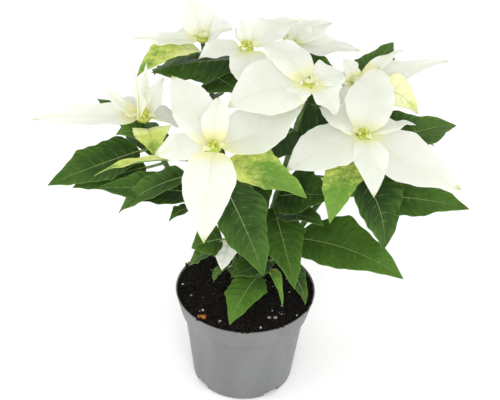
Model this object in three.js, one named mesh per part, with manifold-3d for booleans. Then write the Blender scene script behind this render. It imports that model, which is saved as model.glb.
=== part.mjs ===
// A white-bracted poinsettia in its grey plastic nursery pot.
// Millimetres, +Z up. The origin is the centre of the pot's base, on the surface it stands on.
import * as THREE from "three";
import { mergeVertices } from "three/addons/utils/BufferGeometryUtils.js";
import Module from "manifold-3d";

// ---------------------------------------------------------------- driving dimensions

const GAP = 0.35; // left between pieces that touch

const POT_HEIGHT = 91;
const POT_RIM_RADIUS = 60; // a 12 cm pot
const POT_WALL = 1.2;
const POT_SIDES = 44;
const COLLAR_BOTTOM_Z = 70; // the collar ends in a step that the next pot stacks on
const COLLAR_BOTTOM_RADIUS = 54.6;
const STEP_DROP = 3;
const BODY_TOP_RADIUS = 51.5;
const BASE_RADIUS = 43;
const BASE_EDGE = 3; // rounded corner between wall and base
const FLOOR_THICKNESS = 1.6;
const DRAIN_NOTCHES = 4; // cut through the corner between wall and base
const DRAIN_NOTCH_WIDTH = 15;
const DRAIN_NOTCH_HEIGHT = 5;
const DRAIN_NOTCH_REACH = 4; // how far the notch goes in from the base's edge
const DRAIN_NOTCH_AZIMUTH = -53;

const SOIL_EDGE_Z = 89;
const SOIL_MOUND = 2.5; // how much higher the soil lies round the trunk
const SOIL_CRUMB = 1.1; // height of the crumbs
const SOIL_SIDES = 28;
const SOIL_RINGS = [1, 0.9, 0.76, 0.6, 0.42, 0.24]; // radii of the top's rings, as shares of its own
const SOIL_FLAT_EDGE = 1; // the top's edge stays level over this width

const TRUNK_RADIUS = 4.6;
const TRUNK_BOTTOM_Z = 55;
const TRUNK_TOP_Z = 121;
const TRUNK_SIDES = 14;
const BRANCH_RADIUS = 2.3;
const BRANCH_LIFT = 0.3; // slope at which a branch leaves the trunk
const BRANCH_ELBOW = 8;
const BRANCH_RISE = 55; // its curve is steered from a point this far below its bloom
const BRANCH_INWARD = 0.3; // and this share of the bloom's spread nearer the trunk

const BLADE_THICKNESS = 0.7;
const MIDRIB_DEPTH = 0.5; // the rib stands out below the blade
const STALK_HALF_WIDTH = 1.1;
const STALK_DEPTH = 1.1;
const TIP_HALF_WIDTH = 0.45;
const BLADE_STATIONS = [0, 0.12, 0.36, 0.6, 0.82, 1]; // where its cross sections lie, base to tip
const NARROW_BLADE = 35; // a blade under this width has one strip of faces each side of its rib
const WAVE_LENGTHWISE = 9; // radians of the edges' wave from base to tip
const WAVE_ACROSS = 1.4; // radians by which an edge's wave runs ahead of the rib's

const CUP_RADIUS = 6.2; // the short stem end that a bloom's bracts grow from
const CUP_HALF_HEIGHT = 3;
const BRACT_RING = 5; // a bract's root lies this far from the cup's axis
const CYATHIA_IN_RING = 4;
const CYATHIA_RING = 2.7;
const CYATHIUM_RADIUS = 1.9;
const CYATHIUM_HALF_HEIGHT = 2.6;
const CYATHIA_BASE = 1.2; // thickness of the disc that they stand on
const CYATHIUM_SINK = 0.4; // how far each is set into that disc

// ---------------------------------------------------------------- the plant

// Each branch ends in a bloom at `top` and leaves the trunk at height `forks`.
// A bract runs from the bloom's cup to `tip`. A leaf leaves its branch at `from`, a share of the
// branch's length. `width` is across the blade, `bow` how far its middle arches off the straight
// line, `roll` turns it about its midrib in degrees, `fold` lifts both halves.
const PLANT = [
  {
    name: "front_left",
    top: [-29, -31, 255],
    forks: 108,
    bracts: [
      { tip: [-33, -100, 214], width: 42, bow: 12, fold: 6 },
      { tip: [-76, -30, 246], width: 32, bow: 3, roll: 16 },
      { tip: [-66, 35, 280], width: 38, bow: 4, roll: 6 },
      { tip: [-27, 7, 279], width: 22, bow: 7 },
      { tip: [41, 10, 275], width: 50, bow: -5, roll: -8 },
    ],
    leaves: [
      { from: 0.95, tip: [45, -63, 235], width: 46, bow: 4, petiole: 10, roll: -2 },
      { from: 0.93, tip: [-124, -26, 222], width: 22, bow: 8, petiole: 24, roll: -20 },
      { from: 0.86, tip: [15, -62, 154], width: 45, bow: 3, petiole: 6, roll: -24 },
      { from: 0.86, tip: [-106, -23, 183], width: 30, bow: 9, petiole: 24, roll: 14 },
      { from: 0.68, tip: [-124, -10, 198], width: 37, bow: 2, petiole: 16, roll: 16 },
      { from: 0.3, tip: [-49, -14, 124], width: 26, bow: 3, petiole: 10 },
      { from: 0.34, tip: [-20, -38, 139], width: 19, bow: 2, petiole: 2 },
      { from: 0.34, tip: [-46, -22, 149], width: 32, bow: 2, petiole: 6, roll: 24 },
      { from: 0.12, tip: [-28, -14, 107], width: 13, bow: 5, petiole: 6 },
    ],
  },
  {
    name: "right",
    top: [90, 2, 250],
    forks: 97,
    bracts: [
      { tip: [28, -31, 237], width: 50, bow: 2, roll: 10 },
      { tip: [98, -46, 224], width: 28, bow: 8 },
      { tip: [168, -32, 226], width: 46, bow: -2, roll: -21 },
      { tip: [133, 20, 252], width: 17, bow: 4 },
      { tip: [102, 60, 281], width: 40, bow: 8 },
      { tip: [54, 30, 259], width: 34, bow: 3 },
    ],
    leaves: [
      { from: 0.89, tip: [64, -56, 205], width: 32, bow: 8, petiole: 4 },
      { from: 0.86, tip: [111, -36, 164], width: 48, bow: 16, petiole: 12 },
      { from: 0.34, tip: [128, -50, 148], width: 53, bow: 9, petiole: 6, roll: -18 },
      { from: 0.1, tip: [-12, -62, 102], width: 34, bow: 9, petiole: 16 },
      { from: 0.1, tip: [32, -38, 102], width: 9, bow: 16, petiole: 6 },
      { from: 0.2, tip: [52, -25, 95], width: 18, bow: 8, petiole: 10 },
      { from: 0.22, tip: [-12, -34, 131], width: 32, bow: -2, petiole: 12 },
      { from: 0.64, tip: [179, -16, 196], width: 44, bow: 5, petiole: 30, roll: -22 },
      { from: 0.9, tip: [172, 62, 226], width: 48, bow: 5, petiole: 24, roll: -8 },
      { from: 0.7, tip: [156, 30, 190], width: 40, bow: 10, petiole: 20 },
    ],
  },
  {
    name: "rear",
    top: [-7, 73, 285],
    forks: 117,
    bracts: [
      { tip: [-46, 58, 283], width: 24, bow: 4, roll: 10 },
      { tip: [4, 16, 267], width: 38, bow: 6 },
      { tip: [-12, 92, 302], width: 13, bow: 3 },
      { tip: [35, 102, 297], width: 34, bow: 5 },
      { tip: [-1, 130, 266], width: 26, bow: 6 },
    ],
    leaves: [
      { from: 0.97, tip: [-86, 75, 258], width: 46, bow: 3, petiole: 6, fold: -20 },
      { from: 0.8, tip: [-14, 150, 214], width: 44, bow: 12, petiole: 22 },
      { from: 0.62, tip: [24, 132, 178], width: 38, bow: 12, petiole: 22 },
      { from: 0.5, tip: [10, -22, 166], width: 34, bow: 4, petiole: 8 },
    ],
  },
  {
    name: "left",
    top: [-89, 35, 238],
    forks: 98,
    bracts: [
      { tip: [-181, 27, 237], width: 32, bow: 3, roll: 8 },
      { tip: [-120, 40, 261], width: 20, bow: -2 },
      { tip: [-96, 30, 289], width: 14, bow: 2 },
      { tip: [-87, 44, 285], width: 9, bow: 1 },
      { tip: [-40, 52, 224], width: 36, bow: 0, roll: 8 },
      { tip: [-126, 76, 222], width: 32, bow: 4 },
      { tip: [-74, 60, 262], width: 18, bow: 2 },
    ],
    leaves: [
      { from: 0.96, tip: [-78, 4, 222], width: 32, bow: 8, petiole: 4 },
      { from: 0.93, tip: [-110, 18, 232], width: 20, bow: 3, petiole: 4, roll: 20 },
      { from: 0.86, tip: [-166, 2, 190], width: 44, bow: 1, petiole: 14, roll: 16 },
      { from: 0.76, tip: [-146, 6, 186], width: 38, bow: 0, petiole: 16, roll: 14 },
      { from: 0.42, tip: [-66, -2, 161], width: 15, bow: 9, petiole: 8 },
      { from: 0.84, tip: [-134, 96, 217], width: 24, bow: 2, petiole: 22 },
      { from: 0.66, tip: [-112, 108, 182], width: 38, bow: 12, petiole: 22 },
    ],
  },
  {
    name: "rear_right",
    top: [85, 61, 262],
    forks: 102,
    bracts: [
      { tip: [52, 65, 262], width: 22, bow: 5 },
      { tip: [73, 75, 278], width: 18, bow: 4 },
      { tip: [164, 94, 269], width: 26, bow: 2, roll: -4 },
      { tip: [125, 99, 275], width: 14, bow: 4 },
      { tip: [70, 39, 250], width: 15, bow: 4 },
      { tip: [76, 94, 238], width: 14, bow: 2 },
      { tip: [138, 108, 250], width: 26, bow: 5 },
    ],
    leaves: [
      { from: 0.96, tip: [137, 46, 245], width: 32, bow: 15, petiole: 20, roll: -22 },
      { from: 0.8, tip: [158, 74, 196], width: 38, bow: 8, petiole: 20 },
      { from: 0.94, tip: [120, 140, 259], width: 32, bow: 0, petiole: 22 },
      { from: 0.55, tip: [98, 16, 176], width: 40, bow: 8, petiole: 14 },
      { from: 0.86, tip: [34, 50, 217], width: 36, bow: 4, petiole: 8 },
      { from: 0.76, tip: [142, 118, 188], width: 42, bow: 12, petiole: 22 },
    ],
  },
  {
    name: "middle",
    top: [44, 21, 285],
    forks: 116,
    bracts: [
      { tip: [-20, 5, 271], width: 64, bow: 4, roll: 14 },
      { tip: [27, -8, 276], width: 22, bow: 3 },
      { tip: [6, 64, 295], width: 37, bow: 8 },
      { tip: [76, 40, 280], width: 30, bow: 5, roll: -10 },
      { tip: [67, 4, 266], width: 28, bow: 5 },
    ],
    leaves: [
      { from: 0.7, tip: [90, 34, 228], width: 52, bow: 8, petiole: 4 },
      { from: 0.78, tip: [-12, -16, 220], width: 52, bow: 4, petiole: 2 },
      { from: 0.34, tip: [40, -60, 141], width: 37, bow: 2, petiole: 1 },
      { from: 0.4, tip: [70, -14, 201], width: 50, bow: 2, petiole: 3, roll: -26 },
      { from: 0.3, tip: [62, -22, 178], width: 32, bow: 4, petiole: 10 },
    ],
  },
  {
    name: "rear_left",
    top: [-44, 102, 276],
    forks: 111,
    bracts: [
      { tip: [-56, 124, 302], width: 32, bow: 2 },
      { tip: [-100, 84, 285], width: 22, bow: -1, roll: 6 },
      { tip: [-19, 94, 291], width: 30, bow: 4, roll: -20 },
      { tip: [-82, 132, 248], width: 32, bow: 6 },
      { tip: [-50, 154, 262], width: 30, bow: 8 },
    ],
    leaves: [
      { from: 0.96, tip: [-97, 60, 262], width: 34, bow: 12, petiole: 5 },
      { from: 0.86, tip: [-10, 58, 251], width: 44, bow: 2, petiole: 8, roll: -16 },
      { from: 0.5, tip: [-66, 58, 184], width: 40, bow: 8, petiole: 12 },
      { from: 0.84, tip: [-88, 130, 222], width: 42, bow: 12, petiole: 12 },
      { from: 0.68, tip: [-50, 140, 182], width: 38, bow: 12, petiole: 22 },
    ],
  },
  {
    name: "far_rear",
    top: [28, 100, 276],
    forks: 108,
    bracts: [
      { tip: [65, 124, 284], width: 34, bow: 3 },
      { tip: [88, 88, 279], width: 26, bow: 0, roll: -10 },
      { tip: [24, 156, 256], width: 34, bow: 6 },
      { tip: [46, 120, 284], width: 26, bow: 3 },
    ],
    leaves: [
      { from: 0.97, tip: [78, 82, 254], width: 26, bow: 1, petiole: 9 },
      { from: 0.5, tip: [62, 76, 184], width: 40, bow: 8, petiole: 12 },
      { from: 0.86, tip: [62, 152, 212], width: 44, bow: 12, petiole: 22 },
      { from: 0.7, tip: [96, 128, 184], width: 38, bow: 12, petiole: 22 },
    ],
  },
];

// ---------------------------------------------------------------- solids

const wasm = await Module();
wasm.setup();

const point = (xyz) => new THREE.Vector3(...xyz);

// A closed geometry as a solid that can be joined and cut.
function solid(geometry) {
  const bare = geometry.index ? geometry.clone() : geometry;
  bare.deleteAttribute("normal");
  bare.deleteAttribute("uv");
  const merged = mergeVertices(bare, 1e-4);
  return new wasm.Manifold(
    new wasm.Mesh({
      numProp: 3,
      vertProperties: merged.attributes.position.array,
      triVerts: new Uint32Array(merged.index.array),
    }),
  );
}

function fused(solids) {
  return solids.reduce((whole, next) => whole.add(next));
}

function meshOf(name, body, finish) {
  const made = body.getMesh();
  const geometry = new THREE.BufferGeometry();
  geometry.setAttribute("position", new THREE.BufferAttribute(made.vertProperties, 3));
  geometry.setIndex(new THREE.BufferAttribute(made.triVerts, 1));
  geometry.computeVertexNormals();
  const mesh = new THREE.Mesh(geometry, new THREE.MeshStandardMaterial(finish));
  mesh.name = name;
  return mesh;
}

// ---------------------------------------------------------------- blades

// A blade is widest at the share widestAt of its length. The higher its roundness, the narrower its
// base, and the higher its taper, the blunter its tip. tooth is the depth of its lobes.
const LEAF = {
  widestAt: 0.37,
  roundness: 0.5,
  taper: 1.45,
  tooth: 0.07,
  fold: 12,
  wave: 1.2,
  petiole: 14,
};
const BRACT = {
  widestAt: 0.4,
  roundness: 0.42,
  taper: 1.5,
  tooth: 0.03,
  fold: 8,
  wave: 1.6,
  petiole: 3,
};

// Half the width of a blade, as a share of its widest, at u from its base to its tip.
function outline(u, { widestAt, roundness, taper }) {
  if (u < widestAt) return (1 - (1 - u / widestAt) ** 2) ** roundness;
  return 1 - ((u - widestAt) / (1 - widestAt)) ** taper;
}

// A blade laid along its arching midrib: a flat sheet bent to shape, then given its thickness. Both
// faces are split into the same triangles. It starts with a narrow stalk, and u is 0 at its end.
function blade(root, kind, { tip, width, bow, petiole = kind.petiole, roll = 0, fold = kind.fold }) {
  const end = point(tip);
  const chord = end.clone().sub(root);
  const side = new THREE.Vector3(chord.y, -chord.x, 0).normalize();
  const arch = side.clone().cross(chord).normalize();
  const middle = root.clone().add(end).multiplyScalar(0.5).addScaledVector(arch, bow * 2);
  const midrib = new THREE.QuadraticBezierCurve3(root, middle, end);
  const stalk = petiole / chord.length();
  const across = width < NARROW_BLADE ? 2 : 4;
  const along = BLADE_STATIONS.length;
  const sheet = new THREE.PlaneGeometry(2, along, across, along);
  const places = sheet.attributes.position;
  const tilt = THREE.MathUtils.degToRad(fold);
  const upper = [];
  const lower = [];
  for (let i = 0; i < places.count; i += 1) {
    const x = places.getX(i);
    const edge = Math.abs(x);
    const row = Math.round(along / 2 - places.getY(i));
    const u = row === 0 ? 0 : BLADE_STATIONS[row - 1];
    const t = row === 0 ? 0 : stalk + (1 - stalk) * u;
    const ahead = midrib.getTangent(t);
    const turn = THREE.MathUtils.degToRad(-roll);
    const right = side.clone().applyAxisAngle(ahead, turn);
    const normal = side.clone().cross(ahead).normalize().applyAxisAngle(ahead, turn);
    const lobe = 1 + kind.tooth * edge * Math.cos(Math.PI * (x > 0 ? row : row + 1));
    const shape = (width / 2) * outline(u, kind) * lobe;
    const half = Math.max(shape, THREE.MathUtils.lerp(STALK_HALF_WIDTH, TIP_HALF_WIDTH, u));
    const phase = WAVE_LENGTHWISE * u + WAVE_ACROSS * x;
    const ripple = kind.wave * edge * Math.sin(phase) * Math.min(1, 4 * u * (1 - u));
    const place = midrib.getPoint(t);
    place.addScaledVector(right, x * half * Math.cos(tilt));
    place.addScaledVector(normal, edge * half * Math.sin(tilt) + ripple);
    const rib = x === 0 ? MIDRIB_DEPTH * (1 - u) : 0;
    const depth = u > 0 ? BLADE_THICKNESS / 2 + rib : STALK_DEPTH;
    upper.push(place.clone().addScaledVector(normal, BLADE_THICKNESS / 2));
    lower.push(place.addScaledVector(normal, -depth));
  }
  return thickened(upper, lower, sheet.index.array, boundary(across, along));
}

// A closed slab from the matching vertices of its two faces.
function thickened(upper, lower, faces, rim) {
  const count = upper.length;
  const index = [];
  for (let i = 0; i < faces.length; i += 3) {
    const [a, b, c] = faces.slice(i, i + 3);
    index.push(c, b, a);
    index.push(a + count, b + count, c + count);
  }
  rim.forEach((a, i) => {
    const b = rim[(i + 1) % rim.length];
    index.push(a, b, a + count);
    index.push(b, b + count, a + count);
  });
  return solid(new THREE.BufferGeometry().setFromPoints([...upper, ...lower]).setIndex(index));
}

// The numbers of the sheet's edge vertices, as a loop.
function boundary(across, along) {
  const wide = across + 1;
  const loop = [];
  for (let i = 0; i < along; i += 1) loop.push(i * wide);
  for (let i = 0; i < across; i += 1) loop.push(along * wide + i);
  for (let i = along; i > 0; i -= 1) loop.push(i * wide + across);
  for (let i = across; i > 0; i -= 1) loop.push(i);
  return loop;
}

// ---------------------------------------------------------------- stems and blooms

function branchCurve({ top, forks }) {
  const end = point(top);
  end.z -= CUP_HALF_HEIGHT + GAP + BRANCH_RADIUS / 2;
  const out = new THREE.Vector3(end.x, end.y, 0).normalize();
  const clear = TRUNK_RADIUS + GAP + BRANCH_RADIUS * BRANCH_LIFT;
  const start = out.clone().multiplyScalar(clear).setZ(forks);
  const away = start.clone().addScaledVector(out, BRANCH_ELBOW);
  away.z += BRANCH_ELBOW * BRANCH_LIFT;
  const spread = Math.hypot(end.x, end.y);
  const below = end.clone().addScaledVector(out, -BRANCH_INWARD * spread);
  below.z -= BRANCH_RISE;
  return new THREE.CubicBezierCurve3(start, away, below, end);
}

function leafyStem(branch) {
  const path = branchCurve(branch);
  const section = new THREE.Shape().absarc(0, 0, BRANCH_RADIUS, 0, 2 * Math.PI);
  const settings = { steps: 8, curveSegments: 4, extrudePath: path, bevelEnabled: false };
  const parts = [solid(new THREE.ExtrudeGeometry(section, settings))];
  branch.leaves.forEach((leaf) => parts.push(blade(path.getPointAt(leaf.from), LEAF, leaf)));
  return fused(parts);
}

function bracts({ top, bracts: list }) {
  const cup = new THREE.SphereGeometry(CUP_RADIUS, 8, 4);
  cup.rotateX(Math.PI / 2);
  cup.scale(1, 1, CUP_HALF_HEIGHT / CUP_RADIUS);
  cup.translate(...top);
  const parts = [solid(cup)];
  list.forEach((bract) => {
    const out = new THREE.Vector3(bract.tip[0] - top[0], bract.tip[1] - top[1], 0).normalize();
    const root = point(top).addScaledVector(out, BRACT_RING);
    parts.push(blade(root, BRACT, bract));
  });
  return fused(parts);
}

// The true flowers: a ring of small green cups on a low disc.
function cyathia({ top }) {
  const [x, y] = top;
  const z = top[2] + CUP_HALF_HEIGHT + GAP;
  const disc = new THREE.CylinderGeometry(CYATHIA_RING + 1, CYATHIA_RING + 1, CYATHIA_BASE, 6);
  disc.rotateX(Math.PI / 2);
  disc.translate(x, y, z + CYATHIA_BASE / 2);
  const parts = [solid(disc)];
  for (let i = 0; i < CYATHIA_IN_RING; i += 1) {
    const angle = (i / CYATHIA_IN_RING) * 2 * Math.PI + x;
    const cup = new THREE.SphereGeometry(CYATHIUM_RADIUS, 4, 3);
    cup.rotateX(Math.PI / 2);
    cup.scale(1, 1, CYATHIUM_HALF_HEIGHT / CYATHIUM_RADIUS);
    cup.translate(CYATHIA_RING * Math.cos(angle), CYATHIA_RING * Math.sin(angle), 0);
    cup.translate(x, y, z + CYATHIA_BASE + CYATHIUM_HALF_HEIGHT - CYATHIUM_SINK);
    parts.push(solid(cup));
  }
  return fused(parts);
}

function trunk() {
  const height = TRUNK_TOP_Z - TRUNK_BOTTOM_Z;
  const shape = new THREE.CylinderGeometry(TRUNK_RADIUS, TRUNK_RADIUS, height, TRUNK_SIDES);
  shape.rotateX(Math.PI / 2);
  shape.translate(0, 0, (TRUNK_TOP_Z + TRUNK_BOTTOM_Z) / 2);
  return solid(shape);
}

// ---------------------------------------------------------------- pot and soil

// A solid of revolution about Z from a profile of [radius, z].
function turned(profile, sides) {
  const points = profile.map(([r, z]) => new THREE.Vector2(r, z));
  const shape = new THREE.LatheGeometry(points, sides);
  shape.rotateX(Math.PI / 2);
  return shape;
}

function innerRadius(z) {
  const stepZ = COLLAR_BOTTOM_Z - STEP_DROP;
  if (z < stepZ) {
    return BASE_RADIUS + ((BODY_TOP_RADIUS - BASE_RADIUS) * z) / stepZ - POT_WALL;
  }
  const share = (z - COLLAR_BOTTOM_Z) / (POT_HEIGHT - COLLAR_BOTTOM_Z);
  return COLLAR_BOTTOM_RADIUS + (POT_RIM_RADIUS - COLLAR_BOTTOM_RADIUS) * share - POT_WALL;
}

function pot() {
  const stepZ = COLLAR_BOTTOM_Z - STEP_DROP;
  const body = solid(
    turned(
      [
        [0, 0],
        [BASE_RADIUS - BASE_EDGE, 0],
        [BASE_RADIUS, BASE_EDGE],
        [BODY_TOP_RADIUS, stepZ],
        [COLLAR_BOTTOM_RADIUS, COLLAR_BOTTOM_Z],
        [POT_RIM_RADIUS, POT_HEIGHT],
        [POT_RIM_RADIUS - POT_WALL, POT_HEIGHT],
        [COLLAR_BOTTOM_RADIUS - POT_WALL, COLLAR_BOTTOM_Z],
        [BODY_TOP_RADIUS - POT_WALL, stepZ],
        [innerRadius(FLOOR_THICKNESS), FLOOR_THICKNESS],
        [0, FLOOR_THICKNESS],
      ],
      POT_SIDES,
    ),
  );
  const middle = BASE_RADIUS + DRAIN_NOTCH_WIDTH / 2 - DRAIN_NOTCH_REACH;
  const notches = Array.from({ length: DRAIN_NOTCHES }, (_, i) => {
    const block = new THREE.BoxGeometry(DRAIN_NOTCH_WIDTH, DRAIN_NOTCH_WIDTH, DRAIN_NOTCH_HEIGHT * 2);
    block.translate(middle, 0, 0);
    block.rotateZ(THREE.MathUtils.degToRad(DRAIN_NOTCH_AZIMUTH + (i * 360) / DRAIN_NOTCHES));
    return solid(block);
  });
  return body.subtract(fused(notches));
}

function soil() {
  const stepZ = COLLAR_BOTTOM_Z - STEP_DROP;
  const floorZ = FLOOR_THICKNESS + GAP;
  const edge = innerRadius(SOIL_EDGE_Z) - GAP;
  const profile = [
    [0, floorZ],
    [innerRadius(floorZ) - GAP, floorZ],
    [BODY_TOP_RADIUS - POT_WALL - GAP, stepZ],
    [COLLAR_BOTTOM_RADIUS - POT_WALL - GAP, COLLAR_BOTTOM_Z],
    ...SOIL_RINGS.map((share) => [edge * share, SOIL_EDGE_Z + SOIL_MOUND * (1 - share)]),
    [0, SOIL_EDGE_Z + SOIL_MOUND],
  ];
  const shape = turned(profile, SOIL_SIDES);
  const places = shape.attributes.position;
  for (let i = 0; i < places.count; i += 1) {
    const [x, y, z] = [places.getX(i), places.getY(i), places.getZ(i)];
    const crumb = Math.sin(x * 0.61 + 1.3) * Math.cos(y * 0.53) + Math.sin(x * 0.23 - y * 0.31);
    const isTop = z > COLLAR_BOTTOM_Z && Math.hypot(x, y) < edge - SOIL_FLAT_EDGE;
    if (isTop) places.setZ(i, z + SOIL_CRUMB * crumb);
  }
  const holeRadius = TRUNK_RADIUS + GAP;
  const hole = new THREE.CylinderGeometry(holeRadius, holeRadius, POT_HEIGHT, TRUNK_SIDES);
  hole.rotateX(Math.PI / 2);
  hole.translate(0, 0, TRUNK_BOTTOM_Z - GAP + POT_HEIGHT / 2);
  return solid(shape).subtract(solid(hole));
}

// ---------------------------------------------------------------- the assembly

const POT_PLASTIC = { color: 0x8f918f, roughness: 0.45, metalness: 0 };
const PEAT = { color: 0x2a231d, roughness: 1, metalness: 0 };
const BARK = { color: 0x6d6a45, roughness: 0.8, metalness: 0 };
const LEAF_GREEN = { color: 0x3d6b2c, roughness: 0.5, metalness: 0 };
const BRACT_WHITE = { color: 0xf5f6e6, roughness: 0.6, metalness: 0 };
const BUD_GREEN = { color: 0xa9b83a, roughness: 0.5, metalness: 0 };

const poinsettia = new THREE.Group();
poinsettia.add(meshOf("pot", pot(), POT_PLASTIC));
poinsettia.add(meshOf("soil", soil(), PEAT));
poinsettia.add(meshOf("trunk", trunk(), BARK));
PLANT.forEach((branch) => {
  poinsettia.add(meshOf(`leafy_stem_${branch.name}`, leafyStem(branch), LEAF_GREEN));
  poinsettia.add(meshOf(`bracts_${branch.name}`, bracts(branch), BRACT_WHITE));
  poinsettia.add(meshOf(`cyathia_${branch.name}`, cyathia(branch), BUD_GREEN));
});

export default poinsettia;
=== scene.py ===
"""A white-bracted poinsettia in its grey plastic nursery pot.

Sizes and places are in millimetres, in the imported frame: the origin is the centre of the pot's base
and +Z is up. They turn to metres where a mesh is made.
"""

import math
import random

import bpy
import numpy as np
from mathutils import Matrix, Vector, noise


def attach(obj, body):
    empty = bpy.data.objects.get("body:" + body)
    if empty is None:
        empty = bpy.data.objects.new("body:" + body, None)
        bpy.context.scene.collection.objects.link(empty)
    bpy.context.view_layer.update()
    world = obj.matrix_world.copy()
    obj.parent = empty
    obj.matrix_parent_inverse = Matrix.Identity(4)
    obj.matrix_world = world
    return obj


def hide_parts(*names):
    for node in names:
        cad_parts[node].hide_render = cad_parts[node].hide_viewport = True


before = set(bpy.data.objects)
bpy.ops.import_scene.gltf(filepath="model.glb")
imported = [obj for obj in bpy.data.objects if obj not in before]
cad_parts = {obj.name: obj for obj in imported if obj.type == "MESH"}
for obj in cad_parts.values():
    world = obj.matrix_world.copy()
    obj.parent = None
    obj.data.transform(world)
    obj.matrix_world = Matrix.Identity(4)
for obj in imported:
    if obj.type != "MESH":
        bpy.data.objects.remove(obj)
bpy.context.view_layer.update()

MM = 0.001
TURN = 2 * math.pi

# ---------------------------------------------------------------- the plant

# An open bloom, and one whose inner bracts still stand round its flowers. Each has its cup's
# radius, its flowers' size as a share of the full one, and its inner bracts: their number, the
# ranges of their length and of how far out they point for 1 up, their width as a share of their
# length, how far out and how far up they start, their arch, and their fold in degrees.
OPEN = dict(
    cup=4.6, flowers=1.0, inner=3, length=(6.5, 9.0), lean=(2.5, 5.0), width=0.7, reach=3.6,
    rise=2.0, bow=1.0, fold=14,
)
CLOSED = dict(
    cup=4.0, flowers=0.62, inner=6, length=(5.5, 8.0), lean=(-0.5, -0.1), width=1.1, reach=3.3,
    rise=1.0, bow=1.4, fold=-26,
)


def bract(tip, width, bow, **own):
    """A bract from the bloom's cup to tip. bow is how far its middle arches, own what differs."""
    return dict(tip=tip, width=width, bow=bow, own=own)


def leaf(start, tip, width, bow, petiole, **own):
    """A leaf from its branch at start, a share of the branch's length. petiole is its stalk's."""
    return dict(start=start, tip=tip, width=width, bow=bow, petiole=petiole, own=own)


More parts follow.
